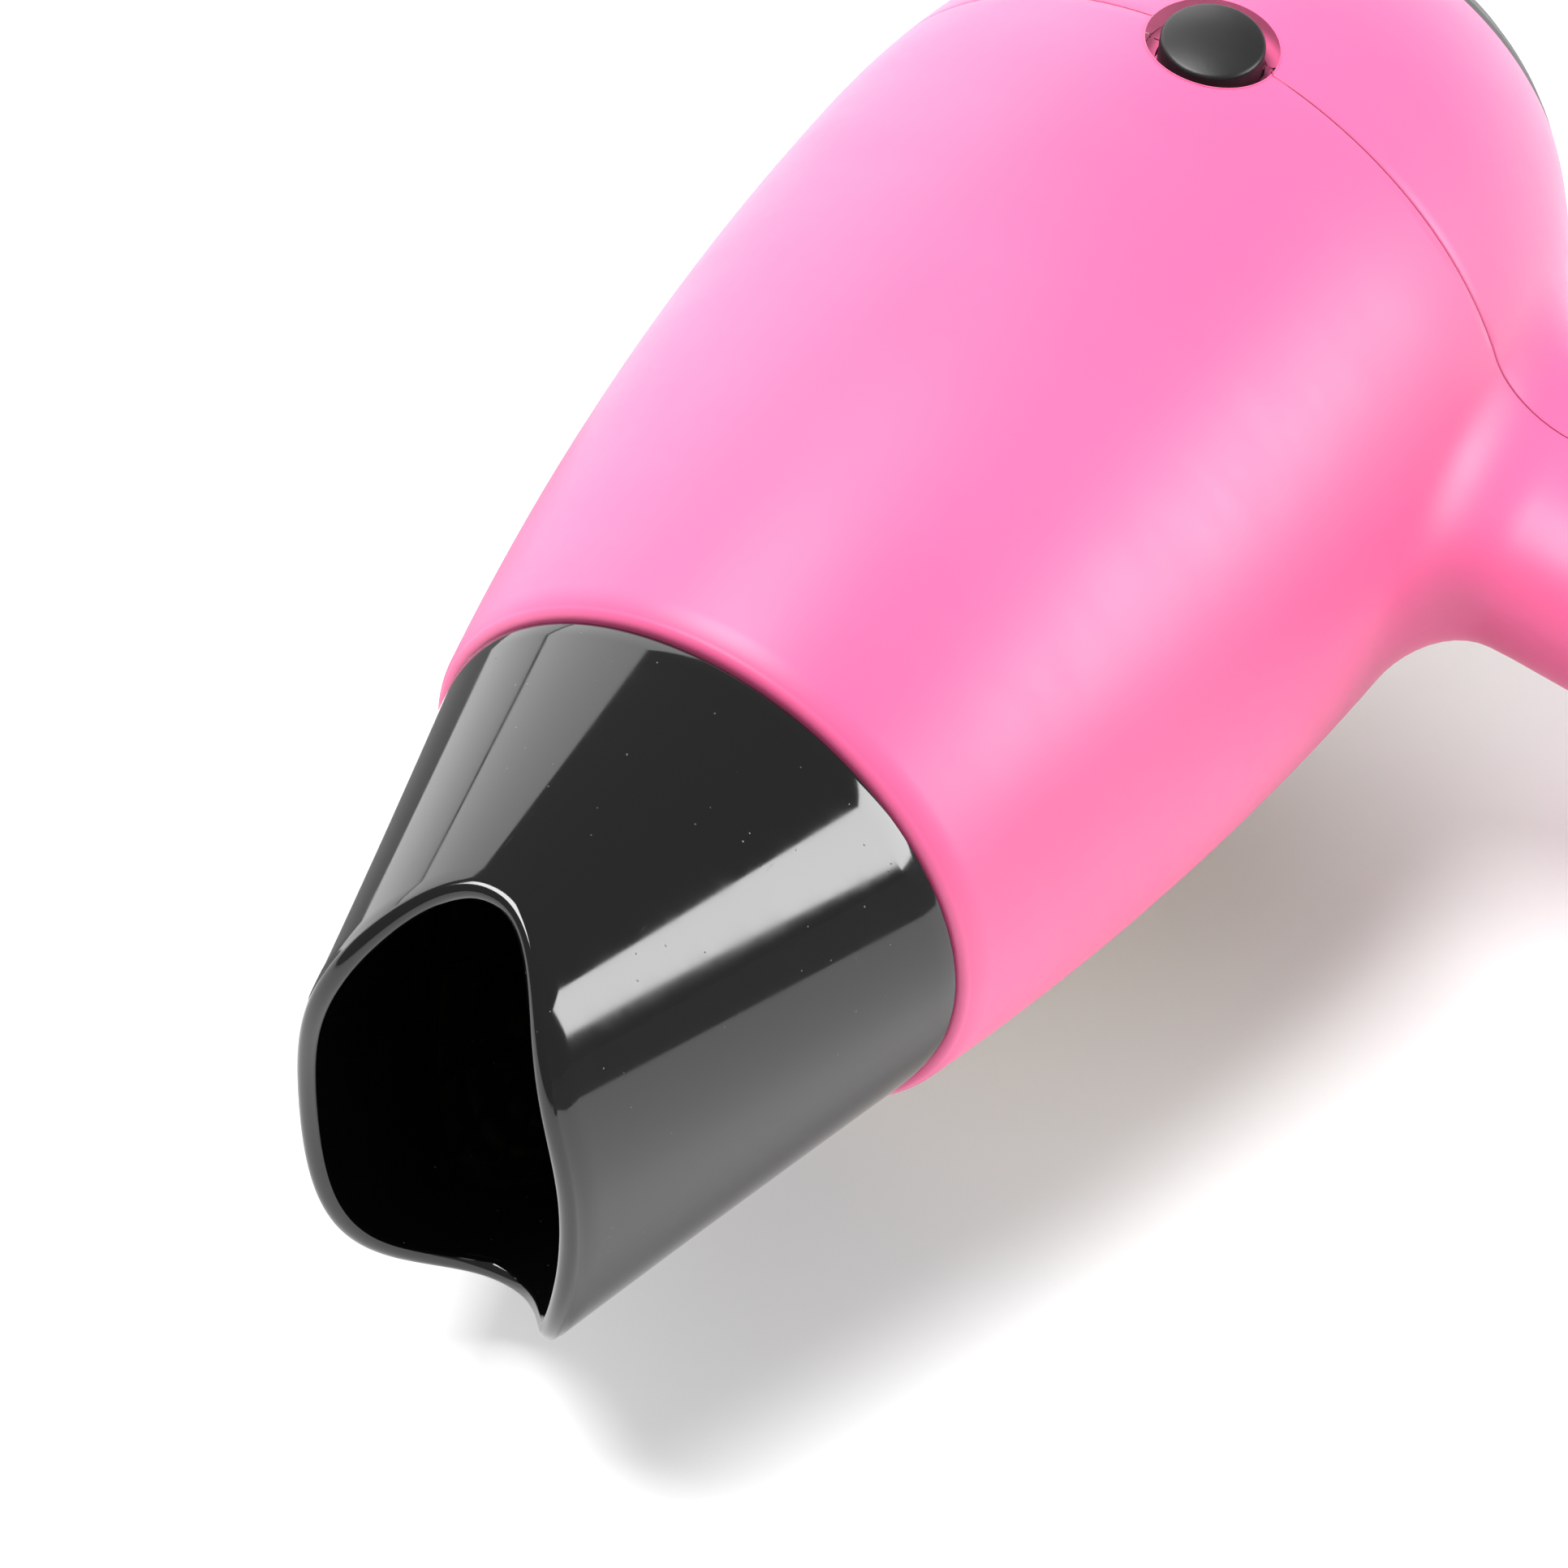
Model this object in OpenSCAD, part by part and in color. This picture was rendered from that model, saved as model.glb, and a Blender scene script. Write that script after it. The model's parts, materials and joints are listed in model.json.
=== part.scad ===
// Travel hair dryer with a folding handle, lying on its side.
// Modelled about the barrel's axis: air flows towards -Y, the handle points to +X and +Z is the
// side that faces up. in_row() then moves it so that the origin is the bottom centre of the
// whole object. All sizes are in millimetres.

/* [Barrel] */
// Largest radius of the housing
belly_r = 34.6; // [32:0.1:38]
// Distance of that largest radius in front of the parting line
belly_y = 8; // [4:0.5:12]
// Outer radius of the barrel's front lip
lip_r = 26.4; // [25.5:0.1:27.5]
// Length of the barrel from its parting line to its lip
barrel_len = 77; // [74:0.5:84]
// Length of the rear dome, behind the largest radius
tail_len = 51; // [50:0.5:54]
// Wall of the housings
wall = 2.2; // [1.8:0.1:2.6]

/* [Nozzle] */
// Mean length of the nozzle in front of the lip
nozzle_len = 35.4; // [30:0.1:42]
// How far its wide sides reach past that mean
nozzle_wave = 4.5; // [0:0.1:6]
// Half height of the mouth
mouth_a = 24.7; // [20:0.1:26]
// Half width of the mouth
mouth_b = 13.6; // [9:0.1:18]
// Wall of the nozzle
nozzle_wall = 1.9; // [1.4:0.1:2.2]

/* [Handle] */
// Distance of the folding hinge from the barrel's axis
hinge_x = 63; // [61:0.5:66]
// Radius of the hinge's round cheeks
hub_r = 18; // [17:0.1:18.5]
// Half thickness of the hinge
hub_z = 9.7; // [9.5:0.1:10.4]
// Distance of the handle's end from the barrel's axis
handle_end = 134; // [128:0.5:142]
// Travel of the slide switch, off to high
switch_travel = 8; // [6:0.5:8.5]

/* [Cool-shot button] */
// Radius of the button
button_r = 4.55; // [4:0.05:5]
// Height of the button above the housing's largest radius
button_proud = 0.3; // [0.2:0.1:1.5]

/* [Cord inlet] */
// Radius of the hole for the mains cord
cord_hole_r = 3.4; // [3:0.1:3.7]

/* [Hanging loop] */
// Radius of the hole in the loop
loop_hole_r = 3.8; // [3:0.1:4.2]

/* [Hidden] */
$fn = 96;

// Derived sizes of the barrel
front_arc = (pow(barrel_len - belly_y, 2) + pow(belly_r - lip_r, 2)) / (2 * (belly_r - lip_r));
seat_r = 23.6;              // bore that the nozzle's spigot plugs into
seat_end = -barrel_len + 9; // its inner end
skirt_gap = 0.3;            // dark gap between the lip and the nozzle
rim_round = 0.4;            // crown of the nozzle rim's edge
ring_y = -barrel_len + 3.6; // front face of the snap ring's groove
ring_w = 2.2;
ring_r = 25;
band_y = -23;               // front end of the straight band that the barrel lies on
rear_open_y = 30;           // where the inlet grille begins
pad_r = 5.95;               // raised pad round the cool-shot button
pad_lift = 0.2;             // how far it stands off the housing
button_hole_r = button_r + 0.2;
guard_y = seat_end;
heater_front = guard_y + 2;
heater_back = -12;

// Derived sizes of the neck and hinge
neck_a = 14.6;              // half depth of the neck, along Y
neck_flare = 1.1;           // what it gains on its way to the hinge
neck_b = 9.3;               // half thickness of the neck, along Z
neck_power = 2.3;           // 2 is an ellipse, more is squarer
fillet = [9, 5, 6.5];       // blend of neck and barrel: along Y, along Z, and outwards
cheek_z = 5.9;              // inner face of the housing's cheeks
tongue_z = 5.6;             // half thickness of the handle's tongue between them
hinge_r = 5;
hinge_bore = 3.4;
hinge_gap = 0.05;
fold_gap = 0.5;
cap_r = 8.5;
cap_z = 8.3;                // inner face of the hinge caps
detent_at = 12;             // distance of the detent ball from the hinge
detent_angle = 45;
switch_x = 99;              // middle of the slider at rest
land_y = -10.6;             // floor that the slider runs on
land_z = 5.4;               // half width of that floor
gland_y = -5;
gland_end = handle_end + 2;
loop_y = 6.6;
loop_r = loop_hole_r + 2.2;
loop_x = handle_end + loop_hole_r + 0.6;

// Bottom centre of everything, which becomes the origin
mid_x = (loop_x + loop_r - belly_r) / 2;
mid_y = (tail_len - belly_y - barrel_len - skirt_gap - rim_round - max([for (i = [0:71]) rim_s(5 * i)])) / 2;

module in_row() { translate([-mid_x, -mid_y, belly_r]) children(); }
module along_y() { rotate([-90, 0, 0]) children(); }
module turned(points) { along_y() rotate_extrude() polygon(points); }
module front_half() { intersection() { children(); translate([-90, -180, -90]) cube([300, 180, 180]); } }
module rear_half() { intersection() { children(); translate([-90, 0, -90]) cube([300, 180, 180]); } }

// ---- curves ----
function steps(from, to, n) = [for (i = [0:n]) from + (to - from) * i / n];
function arc_r(y) = belly_r - front_arc + sqrt(front_arc * front_arc - pow(y + belly_y, 2));
function dome_r(y) = belly_r * sqrt(1 - pow((y + belly_y) / tail_len, 2));
function body_r(y) = y < -belly_y ? arc_r(y) : dome_r(y);
function power(v, p) = sign(v) * pow(abs(v), 2 / p);
function ring_dir(t, p) = [power(cos(t), p), power(sin(t), p)];

// Side faces between ring k and ring m, each of n points.
function band(k, m, n) = [for (i = [0:n - 1]) each
    [[k * n + i, m * n + i, k * n + (i + 1) % n], [k * n + (i + 1) % n, m * n + i, m * n + (i + 1) % n]]];

// A closed solid through rings that all have the same number of points, with flat ends.
module skin(rings) {
    n = len(rings[0]);
    last = len(rings) - 1;
    polyhedron(
        points = [for (ring = rings) each ring],
        faces = concat(
            [[for (i = [0:n - 1]) i]],
            [for (k = [0:last - 1]) each band(k, k + 1, n)],
            [[for (i = [0:n - 1]) last * n + n - 1 - i]]),
        convexity = 8);
}

// A closed sleeve: the last ring joins the first.
module sleeve(rings) {
    n = len(rings[0]);
    polyhedron(
        points = [for (ring = rings) each ring],
        faces = [for (k = [0:len(rings) - 1]) each band(k, (k + 1) % len(rings), n)],
        convexity = 8);
}

// A round wire along a list of points, with its section kept square to the path.
module wire(path, r, sides = 6) {
    last = len(path) - 1;
    function ahead(i) = path[min(i + 1, last)] - path[max(i - 1, 0)];
    function unit(v) = v / norm(v);
    function across(d) = abs(d[2]) < 0.9 ? unit(cross(d, [0, 0, 1])) : unit(cross(d, [1, 0, 0]));
    skin([for (i = [0:last]) let (d = unit(ahead(i)), u = across(d), v = cross(d, u))
        [for (k = [0:sides - 1]) path[i] + r * (cos(360 * k / sides) * u + sin(360 * k / sides) * v)]]);
}
function helix(r, from, pitch, turns, per_turn) = [for (i = [0:turns * per_turn])
    let (a = 360 * i / per_turn) [r * cos(a), r * sin(a), from + pitch * i / per_turn]];

// ---- the housing ----
// Outline of the barrel and dome, w inside the outer skin.
function body_outline(w, from, to) = concat(
    [for (y = steps(from, band_y, 11)) [body_r(y) - w, y]],
    [[belly_r - w, -belly_y]],
    [for (a = steps(3, asin((to + belly_y) / tail_len), 12)) dome_point(a, w)]);
function dome_point(a, w) = [belly_r * cos(a) - w, tail_len * sin(a) - belly_y];

module body_solid(w, from, to) {
    turned(concat([[0, from]], body_outline(w, from, to), [[0, to]]));
}

// The neck: a column on the barrel with a fillet all round its foot. Each ring of the fillet is
// a share d out from the column and a matching lift up from the barrel's surface.
module neck_solid(w, end) {
    n = 64;
    a = neck_a - w;
    b = neck_b - w;
    blend = [fillet[0] + w, fillet[1] + w, fillet[2] + w];
    function spot(t, d) = let (q = ring_dir(t, neck_power)) [(a + d * blend[0]) * q[0], (b + d * blend[1]) * q[1]];
    function lift(d) = blend[2] * (1 - sqrt(1 - (1 - d) * (1 - d)));
    function foot(p) = sqrt(pow(body_r(p[0]) - w, 2) - p[1] * p[1]);
    function ring(d, rise) = [for (i = [0:n - 1]) let (p = spot(360 * i / n, d)) [foot(p) + rise, p[0], p[1]]];
    function level(x, grow) = [for (i = [0:n - 1]) let (q = ring_dir(360 * i / n, neck_power))
        [x, (a + grow) * q[0], b * q[1]]];
    skin(concat(
        [[for (p = ring(1, 0)) [12, p[1], p[2]]]],
        [ring(1, -0.05)],
        [for (k = [15:15:75]) ring(1 - sin(k), lift(1 - sin(k)))],
        [level(43, 0)],
        [level(end, neck_flare * (end - 43) / (hinge_x - 43))]));
}

module hub_disc(r, z, edge) {
    translate([hinge_x, 0, 0]) rotate_extrude() polygon(concat(
        [[0, -z]], [for (k = [0:15:90]) [r - edge + edge * sin(k), -z + edge - edge * cos(k)]],
        [for (k = [0:15:90]) [r - edge + edge * cos(k), z - edge + edge * sin(k)]], [[0, z]]));
}

module at_detent(fold) { translate([hinge_x, 0, 0]) rotate(detent_angle - fold) translate([detent_at, 0, 0]) children(); }
module hinge_cuts() {
    translate([hinge_x, 0, -cheek_z]) cylinder(r = hub_r + 0.2, h = 2 * cheek_z);
    translate([hinge_x, 0, -hub_z - 1]) cylinder(r = hinge_r, h = 2 * hub_z + 2);
    for (side = [0, 1]) mirror([0, 0, side]) translate([hinge_x, 0, cap_z]) cylinder(r = cap_r + 0.1, h = 5);
    // dimples that the detent ball drops into, open and folded
    for (fold = [0, 90]) at_detent(fold) translate([0, 0, cheek_z - 0.1]) cylinder(r = 1.1, h = 0.5);
}

module housing_shell() {
    difference() {
        union() {
            body_solid(0, -barrel_len + 1, rear_open_y);
            // rounded front lip
            turned(concat([[0, -barrel_len + 1]],
                [for (k = [0:18:90]) [lip_r - 1 + cos(k), -barrel_len + 1 - sin(k)]],
                [[0, -barrel_len]]));
            neck_solid(0, hinge_x);
            hub_disc(hub_r, hub_z, 3);
            intersection() {
                body_solid(-pad_lift, -30, 10);
                translate([0, 0, belly_r - 5]) cylinder(r = pad_r, h = 10);
            }
        }
        turned([[0, -90], [seat_r, -90], [seat_r, ring_y], [ring_r, ring_y],
            [ring_r, ring_y + ring_w], [seat_r, ring_y + ring_w], [seat_r, seat_end], [0, seat_end]]);
        body_solid(wall, seat_end - 0.1, rear_open_y + 0.1);
        neck_solid(wall, hinge_x - hub_r + 1);
        hinge_cuts();
        translate([0, 0, 20]) cylinder(r = button_hole_r, h = 30);
    }
}

// Tube that a screw runs down, and its hole. The head sits in a recess in the rear wall.
module screw_tube(x, half) { translate([x, -half, 0]) along_y() cylinder(r = 3.2, h = 2 * half); }
module screw_hole(x) {
    translate([x, -9, 0]) along_y() cylinder(r = 1.3, h = 40);
    translate([x, screw_head_y, 0]) along_y() cylinder(r = 2.8, h = 20);
}
neck_screw_x = 41;
screw_head_y = 9.6;
handle_screw_x = [hinge_x + 23.5, handle_end - 13];

module housing() {
    difference() {
        union() {
            housing_shell();
            screw_tube(neck_screw_x, neck_a - wall + 0.3);
            // ledge that the fan duct's bulkhead rests against
            turned([[30.6, heater_back - 1.6], [33.2, heater_back - 1.6], [33.2, heater_back], [30.6, heater_back]]);
        }
        screw_hole(neck_screw_x);
    }
}
module front_housing() { color("hotpink") front_half() housing(); }
module rear_housing() { color("hotpink") rear_half() housing(); }

// ---- rear inlet ----
// Domed inlet grille: rings that follow the dome, joined by spokes.
grille_t = 2;
module grille_dome(w) {
    a0 = asin((rear_open_y + belly_y) / tail_len);
    turned(concat([[0, rear_open_y - 1 - w]], [[belly_r * cos(a0) - w - 0.25, rear_open_y - 1 - w]],
        [for (a = steps(a0, 90, 14)) [(belly_r - w) * cos(a) - (a < a0 + 1 ? 0.25 : 0), (tail_len - w) * sin(a) - belly_y]]));
}
module rear_grille() {
    rim = dome_r(rear_open_y);
    color("#202022") {
        intersection() {
            union() {
                for (r = [5.2:3:rim - 4])
                    turned([[r - 0.55, 32], [r + 0.55, 32], [r + 0.55, 60], [r - 0.55, 60]]);
                for (a = [0:30:359]) along_y() rotate(a) translate([3, -0.7, rear_open_y + 0.1]) cube([rim - 5, 1.4, 20]);
                turned([[0, 30], [3.6, 30], [3.6, 60], [0, 60]]);
                turned([[rim - 3.4, rear_open_y + 0.1], [rim + 1, rear_open_y + 0.1], [rim + 1, 60], [rim - 3.4, 60]]);
            }
            difference() {
                grille_dome(0);
                grille_dome(grille_t);
            }
        }
        // skirt that plugs into the housing
        turned([[rim - 3.4, rear_open_y - 2.4], [rim - wall - 0.5, rear_open_y - 2.4],
            [rim - wall - 0.5, rear_open_y + 0.2], [rim - 3.4, rear_open_y + 0.2]]);
    }
}

// Fine filter disc in a thin frame.
module lint_filter() {
    color("dimgray") turned([[0, rear_open_y - 3.6], [20, rear_open_y - 3.6],
        [20, rear_open_y - 2.5], [18.8, rear_open_y - 2.5], [18.8, rear_open_y - 3.1], [0, rear_open_y - 3.1]]);
}

// ---- air path ----
fan_r = 20.6;
duct_r = 21.2;
bulkhead_r = 31.6;
hub_tube_r = 13.4;
fan_y = 15;
fan_w = 9;

module fan_duct() {
    vanes = 7;
    color("#d8d2c4") {
        // duct with a bulkhead that reaches out to the housing
        turned([[duct_r, heater_back], [bulkhead_r, heater_back], [bulkhead_r, heater_back + 1.6],
            [duct_r + 1.2, heater_back + 1.6], [duct_r + 1.2, fan_y + 9.5], [duct_r, fan_y + 9.5]]);
        // tube that holds the motor
        turned([[12.1, heater_back + 0.4], [hub_tube_r, heater_back + 0.4], [hub_tube_r, fan_y - 1.6], [12.1, fan_y - 1.6]]);
        for (k = [0:vanes - 1]) along_y() rotate(10 + 360 * k / vanes)
            translate([hub_tube_r - 0.5, -0.6, heater_back + 1]) cube([duct_r - hub_tube_r + 1, 1.2, 20]);
    }
}

module fan() {
    blades = 7;
    color("#3a3a3d") {
        turned([[1.02, fan_y], [9, fan_y], [9, fan_y + fan_w - 2], [7.4, fan_y + fan_w],
            [1.02, fan_y + fan_w]]);
        for (k = [0:blades - 1]) along_y() rotate(k * 360 / blades)
            intersection() {
                translate([8.4, 0, fan_w / 2 + fan_y]) rotate([38, 0, 0]) translate([0, -6.2, -0.6]) cube([12, 12.4, 1.2]);
                translate([0, 0, fan_y]) cylinder(r = fan_r, h = fan_w);
            }
    }
}
module motor_shaft() { color("silver") translate([0, -13.5, 0]) along_y() cylinder(r = 1, h = 37); }
module motor_can() {
    color("gray") difference() {
        turned([[0, -8], [12, -8], [12, 12], [11, 13], [0, 13]]);
        turned([[0, -9], [1.05, -9], [1.05, 14], [0, 14]]);
        for (a = [0, 180]) along_y() rotate(a) translate([10.4, -2.5, -4]) cube([3, 5, 8]);
    }
}
module motor_end_cap() {
    color("ivory") difference() {
        union() {
            turned([[0, -10.6], [11.4, -10.6], [11.4, -8], [0, -8]]);
            for (s = [-1, 1]) translate([s * 7 - 1.4, -12.4, -0.3]) cube([2.8, 2, 0.6]);
        }
        turned([[0, -14], [1.05, -14], [1.05, -7], [0, -7]]);
    }
}
module rectifier_board() {
    color("#3f6b3a") difference() {
        turned([[2, -14.4], [11, -14.4], [11, -13.2], [2, -13.2]]);
        for (s = [-1, 1]) translate([s * 7 - 1.6, -15, -0.6]) cube([3.2, 3, 1.2]);
    }
    // four diodes in a bridge
    color("#222222") for (a = [45:90:359]) along_y() rotate(a) translate([6.6, -2.2, -15.6])
        rotate([-90, 0, 0]) cylinder(r = 1.3, h = 4.4);
}

// ---- heater ----
sleeve_r = 22.2;
cross_len = heater_back - heater_front - 8;
module mica_sleeve() {
    color("#c9b27c") turned([[sleeve_r, heater_front], [sleeve_r + 0.6, heater_front],
        [sleeve_r + 0.6, heater_back - 0.2], [sleeve_r, heater_back - 0.2]]);
}
module mica_cross() {
    color("#d6c493") difference() {
        for (a = [0, 90]) along_y() rotate(a) translate([-15.6, -0.35, heater_front + 1]) cube([31.2, 0.7, cross_len]);
        // notches that keep the coil's turns apart
        for (a = [0:90:359]) for (k = [0:6]) along_y() rotate(a)
            translate([14.6, -1, heater_front + 4 + k * 5 + a * 5 / 360 - 1.3]) cube([2, 2, 2.6]);
    }
}
module heating_coil() {
    color("#8a8a86") along_y() translate([0, 0, heater_front + 4]) wire(helix(15.9, 0, 5, 6.75, 24), 1.1);
}
module thermostat() {
    color("#b8b8ba") translate([3, heater_back - 11.5, 0.4]) {
        cube([10, 5.6, 1.6]);
        translate([5, 2.8, 1.5]) cylinder(r = 2.4, h = 1.6);
    }
}
module thermal_fuse() {
    color("#c8b070") {
        translate([-12, heater_back - 8, 2]) rotate([0, 90, 0]) cylinder(r = 1.5, h = 8);
        translate([-13.6, heater_back - 8, 2]) rotate([0, 90, 0]) cylinder(r = 0.4, h = 11.2);
    }
}

// Protective guard that closes the outlet behind the nozzle.
module outlet_guard() {
    color("#1c1c1e") {
        for (r = [6, 11, 16]) turned([[r - 0.6, guard_y], [r + 0.6, guard_y], [r + 0.6, guard_y + 2], [r - 0.6, guard_y + 2]]);
        turned([[20.6, guard_y], [25.9, guard_y], [25.9, guard_y + 2], [20.6, guard_y + 2]]);
        for (a = [0:45:359]) along_y() rotate(a) translate([5.5, -0.6, guard_y]) cube([15.6, 1.2, 2]);
    }
}

// ---- nozzle ----
shoulder_r = lip_r - 0.9;
spigot_r = seat_r - 0.1;
nozzle_rest = -4.8;         // how far the nozzle is turned when the hinge reads zero
mouth_power = 2.15;
function rim_s(t) = nozzle_len + nozzle_wave * cos(2 * t) - 1.4 * cos(4 * t);
// One ring of the ruled wall between the round shoulder and the wavy rim, w inside the outer skin.
function nozzle_ring(k, w, over) = [for (i = [0:71]) let (t = 5 * i, q = ring_dir(t, mouth_power),
        x = (1 - k) * (shoulder_r - w) * cos(t) + k * (mouth_b - w) * q[0],
        z = (1 - k) * (shoulder_r - w) * sin(t) + k * (mouth_a - w) * q[1])
    [x, -barrel_len - skirt_gap - k * (rim_s(t) + over), z]];

module nozzle() {
    color("#17171a") rotate([0, nozzle_rest, 0]) {
        sleeve(concat(
            [for (k = [0, 0.33, 0.67, 1]) nozzle_ring(k, 0, 0)],
            [nozzle_ring(1, nozzle_wall / 2, rim_round)],
            [for (k = [1, 0.67, 0.33, 0]) nozzle_ring(k, nozzle_wall, 0)]));
        turned([[spigot_r - 1.8, -barrel_len - 1.5], [shoulder_r - 1.2, -barrel_len - 1.5],
            [shoulder_r - 1.2, -barrel_len - skirt_gap], [spigot_r, -barrel_len - skirt_gap],
            [spigot_r, seat_end - 0.6], [spigot_r - 1.8, seat_end - 0.6]]);
    }
}
// Split spring ring that grips the nozzle's spigot and can turn in its groove.
module snap_ring() {
    color("silver") difference() {
        turned([[seat_r - 0.02, ring_y + 0.1], [ring_r - 0.1, ring_y + 0.1],
            [ring_r - 0.1, ring_y + ring_w - 0.1], [seat_r - 0.02, ring_y + ring_w - 0.1]]);
        translate([-30, ring_y - 1, -3]) cube([12, ring_w + 2, 6]);
    }
}

// ---- cool-shot button ----
flange_z = belly_r - 4.9;
contact_z = flange_z - 7.2;
module cool_shot_button() {
    top = belly_r + button_proud;
    color("#262628") rotate_extrude() polygon(concat(
        [[0, flange_z], [6.4, flange_z], [6.4, flange_z + 1], [button_r, flange_z + 1]],
        [for (k = [0:15:90]) [button_r - 1.1 + 1.1 * cos(k), top - 1.1 + 0.75 * sin(k)]],
        [[0, top]]));
}
module button_spring() {
    color("silver") translate([0, 0, contact_z + 3]) wire(helix(4.6, 0, 0.9, 3, 14), 0.25);
}
module cool_shot_contacts() {
    color("#b87333") {
        translate([-6.5, -6.5, contact_z]) cube([13, 13, 2.7]);
        translate([-2.2, -3.4, contact_z + 2.6]) cube([4.4, 6.8, 0.5]);
        translate([0, 0, contact_z + 2.6]) cylinder(r = 1.2, h = 2.2);
    }
}

// ---- hinge ----
module hinge_tube() {
    color("silver") difference() {
        translate([hinge_x, 0, -cap_z]) cylinder(r = hinge_r, h = 2 * cap_z);
        translate([hinge_x, 0, -20]) cylinder(r = hinge_bore, h = 40);
    }
}
module hinge_cap() {
    color("#262628") translate([hinge_x, 0, 0]) rotate_extrude() polygon(concat(
        [[0, cap_z], [cap_r, cap_z]],
        [for (k = [0:22.5:90]) [cap_r - 0.9 + 0.9 * cos(k), hub_z - 0.6 + 0.7 * sin(k)]],
        [[0, hub_z + 0.4]]));
}
module hinge_cap_upper() { hinge_cap(); }
module hinge_cap_lower() { mirror([0, 0, 1]) hinge_cap(); }

module screw(length) {
    difference() {
        union() {
            cylinder(r = 1.25, h = length);
            translate([0, 0, length]) cylinder(r1 = 2.5, r2 = 2.2, h = 1.7);
        }
        for (a = [0, 90]) translate([0, 0, length + 0.8]) rotate(a) translate([-1.5, -0.35, 0]) cube([3, 0.7, 2]);
    }
}
module housing_screw() {
    color("silver") translate([neck_screw_x, screw_head_y - 15, 0]) along_y() screw(15);
}
module lead_wires() {
    for (s = [-1, 1]) color(s < 0 ? "#b03030" : "#303030")
        wire([[18, heater_back + 6, s * 19], [23, heater_back + 6, s * 17], [27, -5, s * 13], [31, -4, s * 8],
            [35, -3, s * 5.6], [39, -2, s * 5.3], [43, 0, s * 4.6], [45, 0, s * 3.2]], 0.9);
}

// ---- handle ----
// Along the grip, from the hinge to its end: [share of the length, half depth to the front, half
// depth to the rear, half thickness].
grip = [[0, 9.3, 13.4, 9.5], [0.14, 10.2, 14, 9.8], [0.28, 11.7, 14.1, 10.2], [0.45, 12.9, 13.9, 10.5],
    [0.66, 13.3, 13.6, 10.6], [0.83, 13.3, 13.4, 10.5], [0.93, 13, 13.2, 10.1], [0.98, 12.2, 12.4, 9.3],
    [1, 10.8, 11, 8]];
grip_power = 2.4;
grip_start = hinge_x + 13;
grip_n = 56;
function grip_x(row) = grip_start + row[0] * (handle_end - grip_start);
function grip_ring(g, w, x) = [for (i = [0:grip_n - 1]) let (q = ring_dir(360 * i / grip_n, grip_power))
    [x, (q[0] < 0 ? g[1] - w : g[2] - w) * q[0], (g[3] - w) * q[1]]];

module grip_outer() {
    skin(concat([grip_ring(grip[0], 0, hinge_x + 5)], [for (g = grip) grip_ring(g, 0, grip_x(g))]));
}
module grip_inner() {
    last = len(grip) - 3;
    skin(concat([grip_ring(grip[0], 2, hinge_x + hub_r + 1.6)],
        [for (k = [2:last]) grip_ring(grip[k], 2, grip_x(grip[k]))],
        [grip_ring(grip[last + 1], 2.4, grip_x(grip[last + 1]) - 0.9)]));
}
module tongue() {
    difference() {
        translate([hinge_x, 0, -tongue_z]) cylinder(r = hub_r - 0.4, h = 2 * tongue_z);
        difference() {
            translate([hinge_x, 0, -tongue_z + 2]) cylinder(r = hub_r - 2.6, h = 2 * tongue_z - 4);
            translate([hinge_x, 0, -tongue_z]) cylinder(r = hinge_r + 2, h = 2 * tongue_z);
            at_detent(0) cylinder(r = 2.8, h = tongue_z);
        }
        // window that the wires pass through, open or folded
        translate([hinge_x, 0, -tongue_z + 2]) linear_extrude(2 * tongue_z - 4)
            polygon([[-5, 5], [-30, 5], [-30, -30], [5, -30], [5, -5]]);
    }
}
module handle_shell() {
    difference() {
        union() {
            difference() {
                grip_outer();
                grip_inner();
                // room for the housing's cheeks as the handle folds
                for (side = [0, 1]) mirror([0, 0, side]) translate([hinge_x, 0, tongue_z])
                    cylinder(r = hub_r + fold_gap, h = 10);
            }
            tongue();
            for (x = handle_screw_x) intersection() {
                screw_tube(x, 14);
                grip_outer();
            }
        }
        translate([hinge_x, 0, -20]) cylinder(r = hinge_r + hinge_gap, h = 40);
        // way for the wires from the tongue into the grip
        translate([hinge_x + hinge_r + 2.5, -4, -3]) cube([hub_r - 3, 8, 6]);
        at_detent(0) translate([0, 0, 1]) cylinder(r = 1.65, h = 10);
        for (x = handle_screw_x) screw_hole(x);
        translate([handle_end - 10, gland_y, 0]) rotate([0, 90, 0]) cylinder(r = 4.8, h = 20);
        translate([handle_end - 6, loop_y - 2.1, -2.1]) cube([12, 4.2, 4.2]);
        translate([loop_x, loop_y, -2.1]) cylinder(r = loop_r + 0.1, h = 4.2);
    }
}

slot_z = 1.9;
module handle_front() {
    x0 = switch_x - 6;
    x1 = switch_x + 6 + switch_travel;
    color("hotpink") front_half() difference() {
        union() {
            difference() {
                handle_shell();
                translate([x0, land_y - 10, -land_z]) cube([x1 - x0, 10, 2 * land_z]);
            }
            // floor that the slider runs on
            translate([x0 - 1, land_y, -land_z - 1]) cube([x1 - x0 + 2, 1.5, 2 * land_z + 2]);
        }
        translate([switch_x - 2.6, land_y - 5, -slot_z]) cube([5.2 + switch_travel, 12, 2 * slot_z]);
    }
}
module handle_rear() { color("hotpink") rear_half() handle_shell(); }

module detent_ball() { color("silver") at_detent(0) translate([0, 0, cheek_z - 1.55]) sphere(r = 1.5); }
module detent_spring() { color("silver") at_detent(0) translate([0, 0, 1.25]) wire(helix(1.2, 0, 0.5, 2.5, 10), 0.2); }
module handle_screws() {
    color("silver") for (x = handle_screw_x) translate([x, screw_head_y - 14, 0]) along_y() screw(14);
}

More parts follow.
